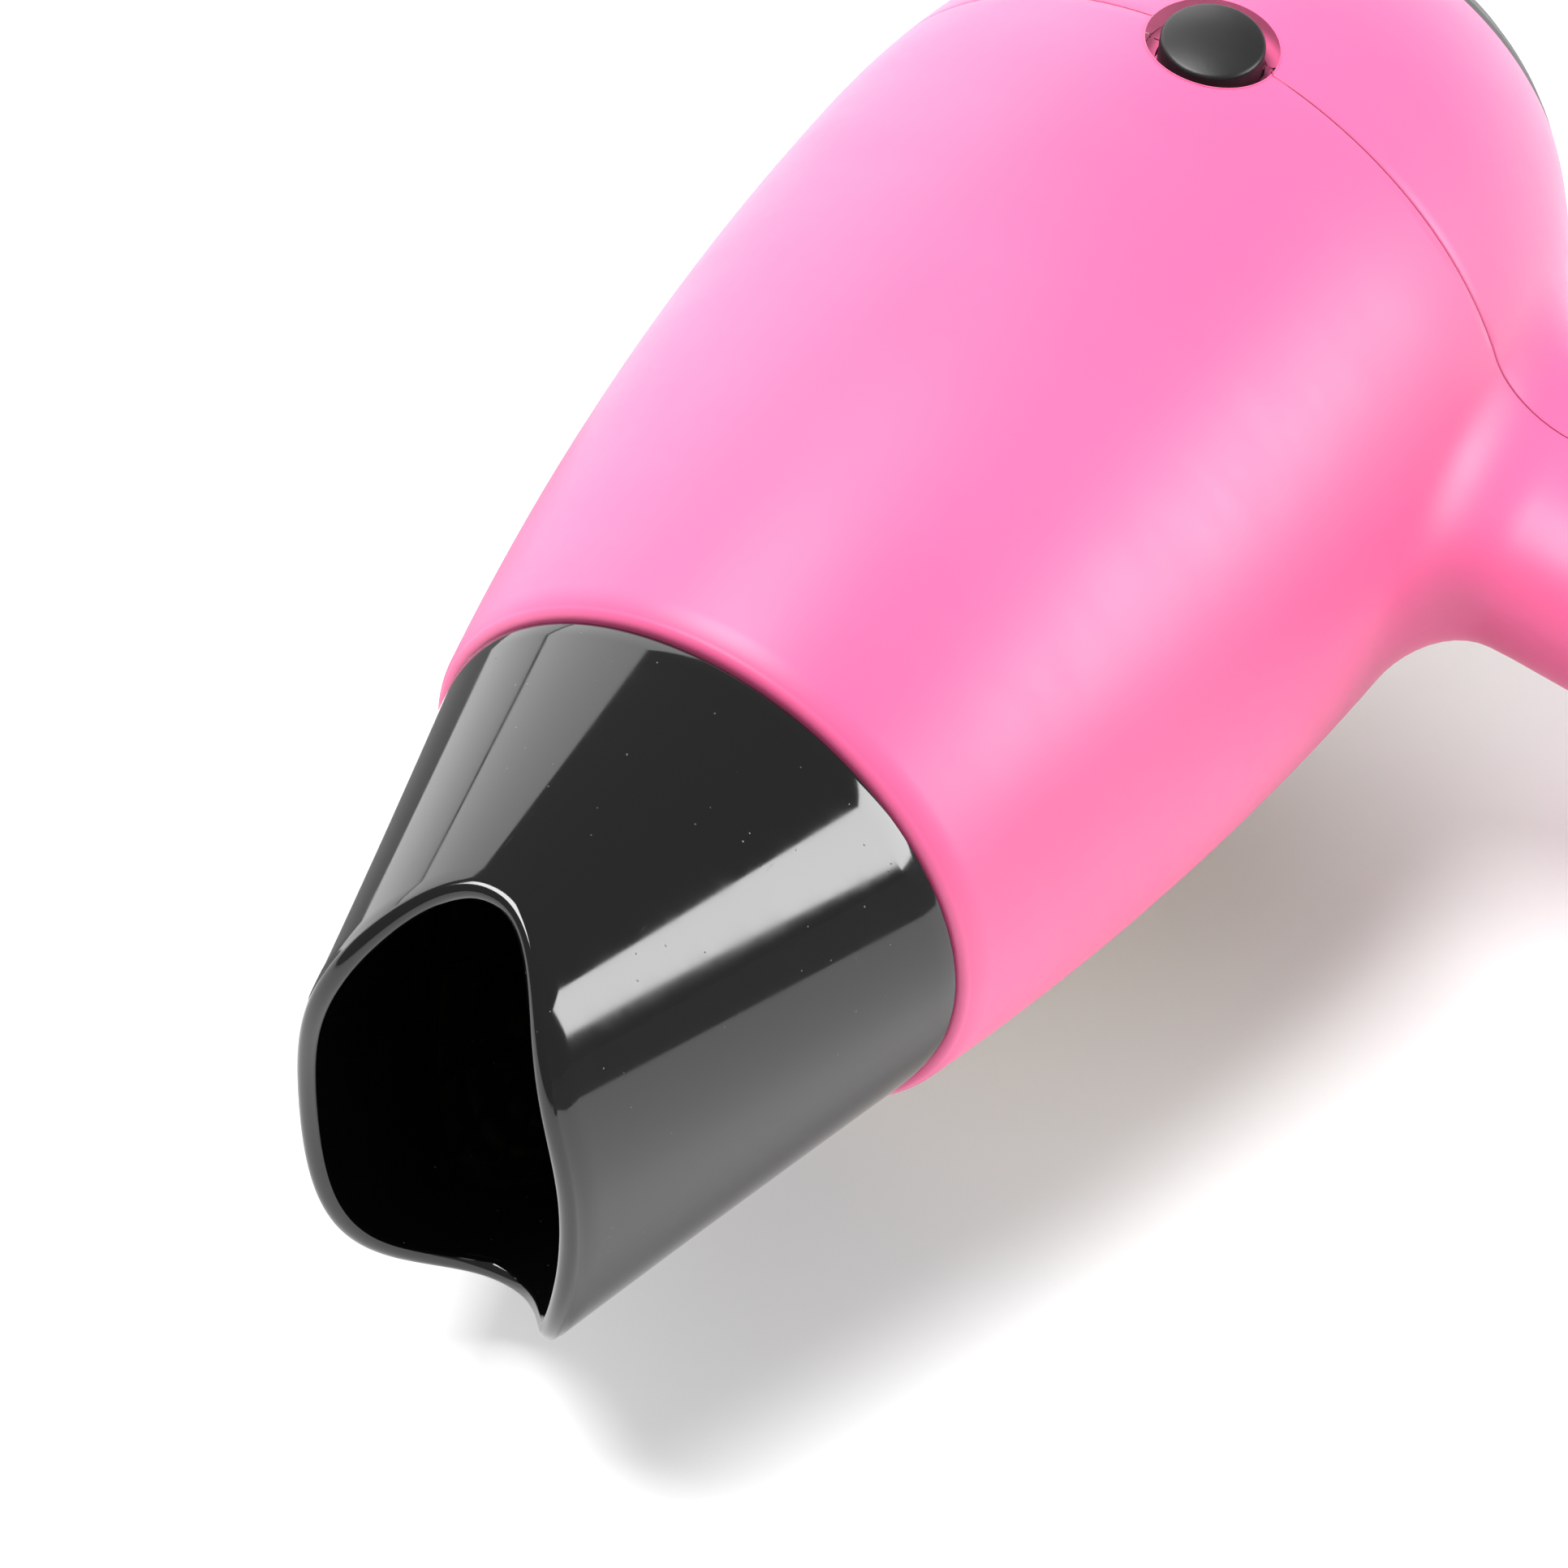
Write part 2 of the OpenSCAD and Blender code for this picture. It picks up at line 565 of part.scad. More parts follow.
// ---- slide switch ----
module slide_switch() {
    mid = switch_x + switch_travel / 2;
    back = land_y + 9.4;
    color("#1f1f1f") difference() {
        translate([mid - 9.5, land_y + 2.1, -4.2]) cube([19, back - land_y - 2.1, 8.4]);
        translate([switch_x - 3, land_y + 1.5, -2.2]) cube([6 + switch_travel, 4, 4.4]);
    }
    color("#b87333") for (k = [-1:1]) translate([mid + k * 7 - 0.5, back, -1]) cube([1, 3.4, 2]);
}
module switch_slider() {
    ribs = 4;
    color("#262628") {
        translate([switch_x - 5, land_y - 1, -land_z + 0.6]) cube([10, 0.9, 2 * land_z - 1.2]);
        translate([switch_x - 2, land_y - 0.2, -1.5]) cube([4, 4.8, 3]);
        for (k = [0:ribs - 1]) translate([switch_x - 4 + k * 2.2, land_y - 3.2, -3.9]) cube([1.3, 2.4, 7.8]);
    }
}

// ---- cord inlet and hanging loop ----
module cord_gland() {
    color("#1c1c1e") translate([0, gland_y, 0]) rotate([0, 90, 0]) rotate_extrude() polygon([
        [cord_hole_r, handle_end - 7.6], [5.9, handle_end - 7.6], [5.9, handle_end - 6.2], [4.7, handle_end - 5.2],
        [4.7, handle_end + 0.3], [5.3, handle_end + 0.3], [5.3, gland_end - 0.5], [4.8, gland_end],
        [cord_hole_r, gland_end]]);
}
module hang_loop() {
    color("#1c1c1e") difference() {
        union() {
            translate([loop_x, loop_y, -2]) cylinder(r = loop_r, h = 4);
            translate([handle_end - 5.8, loop_y - 2, -2]) cube([7.5, 4, 4]);
        }
        translate([loop_x, loop_y, -3]) cylinder(r = loop_hole_r, h = 6);
    }
}

in_row() {
    front_housing();
    rear_housing();
    rear_grille();
    lint_filter();
    outlet_guard();
    nozzle();
    snap_ring();
    fan_duct();
    fan();
    motor_shaft();
    motor_can();
    motor_end_cap();
    rectifier_board();
    mica_sleeve();
    mica_cross();
    heating_coil();
    thermostat();
    thermal_fuse();
    cool_shot_button();
    button_spring();
    cool_shot_contacts();
    hinge_tube();
    hinge_cap_upper();
    hinge_cap_lower();
    housing_screw();
    lead_wires();
    handle_front();
    handle_rear();
    detent_ball();
    detent_spring();
    handle_screws();
    slide_switch();
    switch_slider();
    cord_gland();
    hang_loop();
}
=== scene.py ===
"""Travel hair dryer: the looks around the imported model. Lengths are in millimetres about the
barrel's axis until a mesh is made, and in metres in the row frame after that."""
import json
import math

import bmesh
import bpy
import numpy as np
from mathutils import Matrix, Vector


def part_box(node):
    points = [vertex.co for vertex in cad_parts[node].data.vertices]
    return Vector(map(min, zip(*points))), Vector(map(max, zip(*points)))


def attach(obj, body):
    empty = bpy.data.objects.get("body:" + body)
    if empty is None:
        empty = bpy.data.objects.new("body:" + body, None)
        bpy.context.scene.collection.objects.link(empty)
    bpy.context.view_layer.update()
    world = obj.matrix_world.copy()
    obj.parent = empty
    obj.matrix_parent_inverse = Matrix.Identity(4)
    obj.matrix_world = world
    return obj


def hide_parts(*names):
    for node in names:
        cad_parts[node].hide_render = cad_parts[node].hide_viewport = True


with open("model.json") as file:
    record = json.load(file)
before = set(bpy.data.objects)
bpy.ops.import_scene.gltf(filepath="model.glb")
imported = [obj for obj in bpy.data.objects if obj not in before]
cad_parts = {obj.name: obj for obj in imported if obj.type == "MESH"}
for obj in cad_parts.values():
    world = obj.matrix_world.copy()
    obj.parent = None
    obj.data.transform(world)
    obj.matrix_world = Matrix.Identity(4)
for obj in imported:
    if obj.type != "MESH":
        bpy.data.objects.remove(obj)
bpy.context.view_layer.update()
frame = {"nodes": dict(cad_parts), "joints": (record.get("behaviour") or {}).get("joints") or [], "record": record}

# ---------------------------------------------------------------- places, from the frame
MM = 0.001
shaft_low, shaft_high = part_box("motor_shaft")
front_low, front_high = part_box("front_housing")
tube_low, tube_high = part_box("hinge_tube")
_, handle_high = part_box("handle_rear")
_, button_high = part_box("cool_shot_button")
AXIS = Vector(((shaft_low.x + shaft_high.x) / 2, front_high.y, (shaft_low.z + shaft_high.z) / 2))


def from_axis(point):
    """A row-frame point as millimetres from the barrel's axis and parting line."""
    return (Vector(point) - AXIS) / MM


BELLY_R = -from_axis(front_low).z
BARREL_LEN = -from_axis(front_low).y
HINGE_X = from_axis((tube_low + tube_high) / 2).x
HINGE_R = (tube_high.x - tube_low.x) / 2 / MM
HANDLE_END = from_axis(handle_high).x
BUTTON_TOP = from_axis(button_high).z

# ---------------------------------------------------------------- the design's own sizes
# Barrel: distance of its widest point in front of the parting line, lip, dome and wall.
BELLY_Y = 8.0
LIP_R = 26.4
TAIL_LEN = 51.0
WALL = 2.2
REAR_OPEN_Y = 30.0
# The nozzle's seat in the mouth.
SEAT_R = 23.6
SEAT_DEPTH = 9.0
# Neck: half width and half thickness, and the fillet that joins it to the barrel.
NECK = (14.6, 9.3)
NECK_ROOT_X = 43.0
NECK_FLARE = 1.1
NECK_POWER = 2.3
FILLET = (9.0, 5.0, 6.5)
# Hinge: round cheeks on the neck, the tongue between them and the caps.
HUB_R = 18.0
HUB_Z = 9.7
CHEEK_Z = 5.9
TONGUE_Z = 5.6
CAP_R = 8.5
CAP_Z = 8.3
# Button, its flange and hole, and the pad round it.
BUTTON_R = 4.55
BUTTON_GAP = 0.19
FLANGE_R = 6.4
FLANGE_SUNK = 4.9
FLANGE_T = 1.0
PAD_R = 5.95
PAD_LIFT = 0.2
# Nozzle: its mean length, the wave of its rim, and half width and half height of the mouth.
NOZZLE_LEN = 35.4
NOZZLE_WAVE = 4.5
MOUTH = (13.6, 24.7)
MOUTH_POWER = 2.15
NOZZLE_WALL = 1.9
NOZZLE_REST = math.radians(4.8)
SKIRT_GAP = 0.3
SHOULDER_R = LIP_R - 0.9

FRONT_ARC = ((BARREL_LEN - BELLY_Y) ** 2 + (BELLY_R - LIP_R) ** 2) / (2 * (BELLY_R - LIP_R))


def body_r(y):
    """Radius of the barrel's outer skin at y."""
    y = np.asarray(y, float)
    front = BELLY_R - FRONT_ARC + np.sqrt(FRONT_ARC**2 - np.minimum(y + BELLY_Y, 0) ** 2)
    rear = BELLY_R * np.sqrt(np.clip(1 - (np.maximum(y + BELLY_Y, 0) / TAIL_LEN) ** 2, 0, 1))
    return np.where(y < -BELLY_Y, front, rear)


def superellipse(angle, power):
    """Unit superellipse: two coordinates for each angle."""
    c, s = np.cos(angle), np.sin(angle)
    return np.sign(c) * np.abs(c) ** (2 / power), np.sign(s) * np.abs(s) ** (2 / power)


# ---------------------------------------------------------------- mesh helpers
def mesh_object(name, points, faces, material=None):
    """A new object from points in millimetres about the barrel's axis."""
    mesh = bpy.data.meshes.new(name)
    mesh.from_pydata([tuple(Vector(p) * MM + AXIS) for p in points], [], [tuple(f) for f in faces])
    mesh.validate()
    obj = bpy.data.objects.new(name, mesh)
    bpy.context.scene.collection.objects.link(obj)
    if material:
        mesh.materials.append(material)
    return obj


def tidy(obj, sharp=35):
    """Merges doubles, turns every face outwards and shades the mesh smooth up to an angle."""
    bm = bmesh.new()
    bm.from_mesh(obj.data)
    bmesh.ops.remove_doubles(bm, verts=bm.verts, dist=0.004 * MM)
    bmesh.ops.dissolve_degenerate(bm, edges=bm.edges, dist=0.002 * MM)
    bmesh.ops.recalc_face_normals(bm, faces=bm.faces)
    bm.to_mesh(obj.data)
    bm.free()
    obj.data.polygons.foreach_set("use_smooth", [True] * len(obj.data.polygons))
    obj.data.set_sharp_from_angle(angle=math.radians(sharp))
    return obj


def apply_modifiers(obj):
    """Replaces the mesh with the result of its modifiers."""
    depsgraph = bpy.context.evaluated_depsgraph_get()
    mesh = bpy.data.meshes.new_from_object(obj.evaluated_get(depsgraph))
    obj.modifiers.clear()
    obj.data = mesh
    return obj


def cut(obj, *cutters, operation="DIFFERENCE"):
    """Boolean of obj with each cutter, which is then removed."""
    for cutter in cutters:
        modifier = obj.modifiers.new("cut", "BOOLEAN")
        modifier.operation = operation
        modifier.solver = "EXACT"
        modifier.object = cutter
        apply_modifiers(obj)
        bpy.data.objects.remove(cutter)
    return obj


def bevel(obj, width, segments, angle):
    """Rounds the edges sharper than an angle in degrees. The width is in millimetres."""
    modifier = obj.modifiers.new("bevel", "BEVEL")
    modifier.width = width * MM
    modifier.segments = segments
    modifier.limit_method = "ANGLE"
    modifier.angle_limit = math.radians(angle)
    modifier.harden_normals = False
    return apply_modifiers(obj)


def grid_faces(rows, columns, wrap=True, first=0):
    """Quads between rows of points, each row a ring of columns points."""
    last = columns if wrap else columns - 1
    return [
        (first + r * columns + c, first + r * columns + (c + 1) % columns,
         first + (r + 1) * columns + (c + 1) % columns, first + (r + 1) * columns + c)
        for r in range(rows - 1) for c in range(last)
    ]


def lathe(name, profile, material=None, sides=128, axis="y", centre=(0, 0, 0), closed=True):
    """A ring or solid turned from (radius, height) points. A closed profile joins its ends."""
    turn = np.arange(sides) * 2 * math.pi / sides
    rows = []
    for radius, height in profile:
        c, s = radius * np.cos(turn), radius * np.sin(turn)
        h = np.full(sides, height)
        rows.append({"y": np.stack([c, h, s], 1), "z": np.stack([c, s, h], 1),
                     "x": np.stack([h, c, s], 1)}[axis])
    points = np.concatenate(rows) + np.asarray(centre, float)
    faces = grid_faces(len(profile), sides)
    if closed:
        n = len(profile)
        faces += [((n - 1) * sides + c, (n - 1) * sides + (c + 1) % sides, (c + 1) % sides, c)
                  for c in range(sides)]
    return tidy(mesh_object(name, points, faces, material))


def rod(name, radius, low, high, axis="z", centre=(0, 0, 0), sides=128):
    """A plain closed cylinder, used only to cut with."""
    return lathe(name, [(0, low), (radius, low), (radius, high), (0, high)], None, sides, axis, centre, False)


def block(name, low, high):
    """A plain closed box, used only to cut with."""
    corners = [(x, y, z) for x in (low[0], high[0]) for y in (low[1], high[1]) for z in (low[2], high[2])]
    faces = [(0, 1, 3, 2), (4, 6, 7, 5), (0, 4, 5, 1), (2, 3, 7, 6), (0, 2, 6, 4), (1, 5, 7, 3)]
    return tidy(mesh_object(name, corners, faces))


# Half gap of the parting line, and half width and depth of the groove along it.
SEAM_GAP = 0.06
SEAM_WIDTH = 0.24
SEAM_DEPTH = 0.22


def groove(points, normals):
    """Sinks the points near the parting plane into a rounded groove."""
    near = np.clip(1 - np.abs(points[:, 1]) / SEAM_WIDTH, 0, 1)
    return points - normals * (SEAM_DEPTH * near**2)[:, None]


def halves(obj, front_name, rear_name, reach=200):
    """Splits obj at the parting plane into a front and a rear piece."""
    rear = obj.copy()
    rear.data = obj.data.copy()
    rear.name = rear_name
    bpy.context.scene.collection.objects.link(rear)
    obj.name = front_name
    cut(obj, block("half", (-reach, -reach, -reach), (reach, -SEAM_GAP, reach)), operation="INTERSECT")
    cut(rear, block("half", (-reach, SEAM_GAP, -reach), (reach, reach, reach)), operation="INTERSECT")
    return tidy(obj), tidy(rear)


# ---------------------------------------------------------------- materials
def new_material(name):
    material = bpy.data.materials.new(name)
    material.use_nodes = True
    tree = material.node_tree
    return material, tree, tree.nodes["Principled BSDF"]


def noise(tree, scale, detail=3.0, rough=0.5, stretch=(1, 1, 1), seed=(0, 0, 0)):
    """Noise in object coordinates, about scale blobs per metre."""
    place = tree.nodes.new("ShaderNodeTexCoord")
    mapping = tree.nodes.new("ShaderNodeMapping")
    mapping.inputs["Scale"].default_value = stretch
    mapping.inputs["Location"].default_value = seed
    texture = tree.nodes.new("ShaderNodeTexNoise")
    texture.inputs["Scale"].default_value = scale
    texture.inputs["Detail"].default_value = detail
    texture.inputs["Roughness"].default_value = rough
    tree.links.new(place.outputs["Object"], mapping.inputs["Vector"])
    tree.links.new(mapping.outputs["Vector"], texture.inputs["Vector"])
    return texture.outputs["Fac"]


def remap(tree, value, low, high, to_low=0.0, to_high=1.0):
    node = tree.nodes.new("ShaderNodeMapRange")
    node.inputs["From Min"].default_value = low
    node.inputs["From Max"].default_value = high
    node.inputs["To Min"].default_value = to_low
    node.inputs["To Max"].default_value = to_high
    tree.links.new(value, node.inputs["Value"])
    return node.outputs["Result"]


def mix_colours(tree, factor, dark, light):
    node = tree.nodes.new("ShaderNodeMix")
    node.data_type = "RGBA"
    node.inputs["A"].default_value = (*dark, 1)
    node.inputs["B"].default_value = (*light, 1)
    tree.links.new(factor, node.inputs["Factor"])
    return node.outputs["Result"]


def bumps(tree, shader, layers):
    """Stacks bumps, each (height, strength, distance in mm), on the shader's normal."""
    normal = None
    for height, strength, distance in layers:
        bump = tree.nodes.new("ShaderNodeBump")
        bump.inputs["Strength"].default_value = strength
        bump.inputs["Distance"].default_value = distance * MM
        tree.links.new(height, bump.inputs["Height"])
        if normal:
            tree.links.new(normal, bump.inputs["Normal"])
        normal = bump.outputs["Normal"]
    tree.links.new(normal, shader.inputs["Normal"])


def specks(tree, scale, size, stretch=(1, 1, 1), seed=(0, 0, 0)):
    """Sparse round dots, 1 inside a dot: dust, pits or chips."""
    place = tree.nodes.new("ShaderNodeTexCoord")
    mapping = tree.nodes.new("ShaderNodeMapping")
    mapping.inputs["Scale"].default_value = stretch
    mapping.inputs["Location"].default_value = seed
    cells = tree.nodes.new("ShaderNodeTexVoronoi")
    cells.inputs["Scale"].default_value = scale
    tree.links.new(place.outputs["Object"], mapping.inputs["Vector"])
    tree.links.new(mapping.outputs["Vector"], cells.inputs["Vector"])
    dots = remap(tree, cells.outputs["Distance"], size, size * 0.5)
    chosen = tree.nodes.new("ShaderNodeSeparateColor")
    tree.links.new(cells.outputs["Color"], chosen.inputs["Color"])
    few = remap(tree, chosen.outputs["Red"], 0.80, 0.84)
    both = tree.nodes.new("ShaderNodeMath")
    both.operation = "MULTIPLY"
    tree.links.new(dots, both.inputs[0])
    tree.links.new(few, both.inputs[1])
    return both.outputs["Value"]


def plastic(name, dark, light, rough, bump=0.15, grain=2600, wear=0.04, specular=0.5, sheen=0.0):
    """Moulded plastic: a faint drift of colour, a moulded grain and handling marks in the gloss."""
    material, tree, shader = new_material(name)
    drift = remap(tree, noise(tree, 22, 2), 0.35, 0.65)
    tree.links.new(mix_colours(tree, drift, dark, light), shader.inputs["Base Color"])
    smear = noise(tree, 60, 5, 0.65, (1, 3, 1), (0.3, 0.1, 0))
    tree.links.new(remap(tree, smear, 0.3, 0.7, rough - wear, rough + wear), shader.inputs["Roughness"])
    shader.inputs["Specular IOR Level"].default_value = specular
    shader.inputs["Sheen Weight"].default_value = sheen
    shader.inputs["Sheen Roughness"].default_value = 0.4
    bumps(tree, shader, [
        (noise(tree, grain, 2, 0.6), bump, 0.02),
        (specks(tree, 260, 0.05), 0.25, 0.03),
    ])
    return material


def piano_black(name):
    """Polished black moulding with dust, hairline scratches and slow flow ripples."""
    material, tree, shader = new_material(name)
    shader.inputs["Specular IOR Level"].default_value = 0.55
    dust = specks(tree, 900, 0.09)
    tree.links.new(mix_colours(tree, dust, (0.003, 0.003, 0.0035), (0.07, 0.07, 0.075)),
                   shader.inputs["Base Color"])
    haze = noise(tree, 45, 6, 0.7, (1, 2.5, 1), (0.2, 0, 0.4))
    tree.links.new(remap(tree, haze, 0.35, 0.75, 0.05, 0.11), shader.inputs["Roughness"])
    scratch = remap(tree, noise(tree, 150, 3, 0.5, (30, 0.8, 6), (0.7, 0, 0)), 0.70, 0.74)
    bumps(tree, shader, [
        (noise(tree, 70, 1, 0.4, (1, 0.45, 1)), 0.35, 0.05),
        (scratch, 0.06, 0.01),
        (dust, 0.5, 0.02),
    ])
    return material


def metal(name, colour, rough, grain=(1, 1, 1), dirt=(0.25, 0.22, 0.2)):
    """Bare metal with drawn or turned marks and a little tarnish."""
    material, tree, shader = new_material(name)
    shader.inputs["Metallic"].default_value = 1.0
    stain = remap(tree, noise(tree, 300, 4, 0.6), 0.55, 0.8)
    tree.links.new(mix_colours(tree, stain, colour, dirt), shader.inputs["Base Color"])
    marks = noise(tree, 900, 2, 0.5, grain)
    tree.links.new(remap(tree, marks, 0.3, 0.7, rough - 0.06, rough + 0.08), shader.inputs["Roughness"])
    bumps(tree, shader, [(marks, 0.2, 0.02)])
    return material


def sheet_material(name, dark, light, rough, scale, stretch=(1, 1, 1)):
    """Layered or woven sheet such as mica, laminate or filter cloth."""
    material, tree, shader = new_material(name)
    flakes = noise(tree, scale, 6, 0.7, stretch)
    tree.links.new(mix_colours(tree, remap(tree, flakes, 0.35, 0.65), dark, light),
                   shader.inputs["Base Color"])
    tree.links.new(remap(tree, flakes, 0.3, 0.7, rough - 0.1, rough + 0.1), shader.inputs["Roughness"])
    bumps(tree, shader, [(flakes, 0.4, 0.06)])
    return material


def filter_cloth(name):
    """Fine crossed threads."""
    material, tree, shader = new_material(name)
    place = tree.nodes.new("ShaderNodeTexCoord")
    threads = []
    for direction in ("X", "Z"):
        wave = tree.nodes.new("ShaderNodeTexWave")
        wave.bands_direction = direction
        wave.inputs["Scale"].default_value = 420
        tree.links.new(place.outputs["Object"], wave.inputs["Vector"])
        threads.append(wave.outputs["Fac"])
    weave = tree.nodes.new("ShaderNodeMath")
    weave.operation = "MAXIMUM"
    tree.links.new(threads[0], weave.inputs[0])
    tree.links.new(threads[1], weave.inputs[1])
    tree.links.new(
        mix_colours(tree, weave.outputs["Value"], (0.004, 0.004, 0.004), (0.11, 0.11, 0.115)),
        shader.inputs["Base Color"]
    )
    shader.inputs["Roughness"].default_value = 0.7
    bumps(tree, shader, [(weave.outputs["Value"], 0.8, 0.15)])
    return material


pink = plastic("pink_shell", (0.71, 0.098, 0.252), (0.74, 0.110, 0.272), 0.44, bump=0.10, grain=3000,
               wear=0.03, sheen=0.10)
black_gloss = piano_black("piano_black")
black_satin = plastic("satin_black", (0.006, 0.006, 0.0065), (0.010, 0.010, 0.011), 0.40, bump=0.30,
                      grain=2400, specular=0.4)
black_dull = plastic("dark_plastic", (0.010, 0.010, 0.011), (0.02, 0.02, 0.021), 0.5, bump=0.5, grain=1900)
black_rubber = plastic("black_rubber", (0.010, 0.010, 0.010), (0.022, 0.021, 0.02), 0.72, bump=0.6,
                       grain=1500, specular=0.3)
fan_grey = plastic("fan_plastic", (0.04, 0.04, 0.045), (0.07, 0.07, 0.075), 0.5, bump=0.3)
cream = plastic("cream_plastic", (0.55, 0.50, 0.40), (0.66, 0.61, 0.50), 0.55, bump=0.3)
jacket = plastic("wire_jacket", (0.02, 0.02, 0.02), (0.05, 0.02, 0.02), 0.45, bump=0.2)
steel = metal("steel", (0.56, 0.56, 0.57), 0.3, (1, 8, 1))
spring = metal("spring_steel", (0.62, 0.62, 0.62), 0.22, (4, 4, 1))
copper = metal("copper", (0.78, 0.45, 0.28), 0.3, (1, 6, 1))
heater = metal("heater_wire", (0.30, 0.28, 0.27), 0.45, (1, 1, 1), (0.12, 0.09, 0.08))
mica = sheet_material("mica", (0.42, 0.33, 0.17), (0.66, 0.56, 0.36), 0.4, 260, (1, 0.3, 1))
board = sheet_material("board_green", (0.02, 0.12, 0.035), (0.035, 0.17, 0.05), 0.4, 500)
cloth = filter_cloth("filter_mesh")
MATERIALS = {
    "pink_shell": pink, "piano_black": black_gloss, "satin_black": black_satin, "dark_plastic": black_dull,
    "black_rubber": black_rubber, "fan_plastic": fan_grey, "filter_mesh": cloth, "spring_steel": spring,
    "steel": steel, "cream_plastic": cream, "board_green": board, "mica": mica, "heater_wire": heater,
    "copper": copper, "wire_jacket": jacket,
}


def dress_cad_nodes():
    """Every CAD node gets the material of its slot."""
    for part in frame["record"]["subparts"]:
        for material_slot in frame["nodes"][part["node"]].material_slots:
            material_slot.material = MATERIALS[part["material_slot"]]


# ---------------------------------------------------------------- barrel
COLUMNS = 144
PATCH_COLUMNS = 14
PATCH_Y = (-29.0, 27.0)
NECK_END = HINGE_X - 9
CAVITY_END = HINGE_X - HUB_R + 1


def barrel_stations(low):
    """Stations along the barrel, closer together at the parting line."""
    fine = [-SEAM_WIDTH, -SEAM_WIDTH / 2, 0.0, SEAM_WIDTH / 2, SEAM_WIDTH]
    front = np.linspace(low, PATCH_Y[0], int((PATCH_Y[0] - low) / 1.6))
    middle = np.concatenate([np.linspace(PATCH_Y[0], -1.2, 19), fine, np.linspace(1.2, PATCH_Y[1], 18)])
    return np.concatenate([front[:-1], middle, [28.5, REAR_OPEN_Y]])


def neck_rings(sunk, end, unit):
    """Rings of the fillet and the neck, from the barrel's surface out to end."""
    half_y, half_z = NECK[0] - sunk, NECK[1] - sunk
    blend = [size + sunk for size in FILLET]

    def spot(share):
        return (half_y + share * blend[0]) * unit[0], (half_z + share * blend[1]) * unit[1]

    rings = []
    for turn in np.radians(np.arange(9, 91, 9)):
        share = 1 - math.sin(turn)
        y, z = spot(share)
        foot = np.sqrt((body_r(y) - sunk) ** 2 - z**2)
        rings.append(np.stack([foot + blend[2] * (1 - math.sqrt(1 - (1 - share) ** 2)), y, z], 1))
    root = rings[-1]
    for x in np.arange(NECK_ROOT_X, end + 0.1, (end - NECK_ROOT_X) / 6):
        flare = NECK_FLARE * (x - NECK_ROOT_X) / (HINGE_X - NECK_ROOT_X)
        rings.append(np.stack([np.full(len(root), x), (half_y + flare) * unit[0], half_z * unit[1]], 1))
    return rings


def barrel_skin(sunk, low, end, points, faces):
    """Adds a skin of the barrel and its neck, sunk below the outer one. Returns its two end rings."""
    stations = barrel_stations(low)
    turn = np.arange(COLUMNS) * 2 * math.pi / COLUMNS
    first = len(points)
    for y in stations:
        r = float(body_r(y)) - sunk
        points.extend(np.stack([r * np.cos(turn), np.full(COLUMNS, y), r * np.sin(turn)], 1))

    def index(row, column):
        return first + row * COLUMNS + column % COLUMNS

    row0 = int(np.argmin(np.abs(stations - PATCH_Y[0])))
    row1 = int(np.argmin(np.abs(stations - PATCH_Y[1])))
    for row in range(len(stations) - 1):
        for column in range(COLUMNS):
            inside = row0 <= row < row1 and (column < PATCH_COLUMNS or column >= COLUMNS - PATCH_COLUMNS)
            if not inside:
                faces.append((index(row, column), index(row, column + 1), index(row + 1, column + 1),
                              index(row + 1, column)))
    edge = [(row0, c) for c in range(-PATCH_COLUMNS, PATCH_COLUMNS)]
    edge += [(r, PATCH_COLUMNS) for r in range(row0, row1)]
    edge += [(row1, c) for c in range(PATCH_COLUMNS, -PATCH_COLUMNS, -1)]
    edge += [(r, -PATCH_COLUMNS) for r in range(row1, row0, -1)]
    outer_y = np.array([stations[r] for r, c in edge])
    outer_turn = np.array([c * 2 * math.pi / COLUMNS for r, c in edge])
    reach = (NECK[0] + FILLET[0], NECK[1] + FILLET[1])
    outer_z = (body_r(outer_y) - sunk) * np.sin(outer_turn)
    power = NECK_POWER
    size = (np.abs(outer_y / reach[0]) ** power + np.abs(outer_z / reach[1]) ** power) ** (1 / power)
    unit = (outer_y / reach[0] / size, outer_z / reach[1] / size)
    ring_y, ring_z = reach[0] * unit[0], reach[1] * unit[1]
    ring_turn = np.arcsin(ring_z / (body_r(ring_y) - sunk))
    rings = []
    for share in np.linspace(0, 1, 8)[1:]:
        y = outer_y + (ring_y - outer_y) * share
        a = outer_turn + (ring_turn - outer_turn) * share
        r = body_r(y) - sunk
        rings.append(np.stack([r * np.cos(a), y, r * np.sin(a)], 1))
    rings += neck_rings(sunk, end, unit)
    before = [index(r, c) for r, c in edge]
    count = len(edge)
    for ring in rings:
        start = len(points)
        points.extend(ring)
        now = list(range(start, start + count))
        faces += [(before[i], now[i], now[(i + 1) % count], before[(i + 1) % count]) for i in range(count)]
        before = now
    faces.append(tuple(reversed(before)))
    rim = [index(0, c) for c in range(COLUMNS)]
    return rim, [index(len(stations) - 1, c) for c in range(COLUMNS)]


def join_rings(ring_a, ring_b, faces):
    """Adds quads between two rings of point numbers."""
    n = len(ring_a)
    faces += [(ring_a[i], ring_b[i], ring_b[(i + 1) % n], ring_a[(i + 1) % n]) for i in range(n)]


def pad_disc(radius, lift):
    """A round patch that follows the barrel's skin at a small height above it."""
    stations = np.linspace(-8, 8, 33)
    profile = [(BELLY_R - 3, -8), *[(float(body_r(y)) + lift, y) for y in stations], (BELLY_R - 3, 8)]
    band = lathe("pad", profile, pink, 360)
    return cut(band, rod("patch", radius, 20, 50, sides=128), operation="INTERSECT")


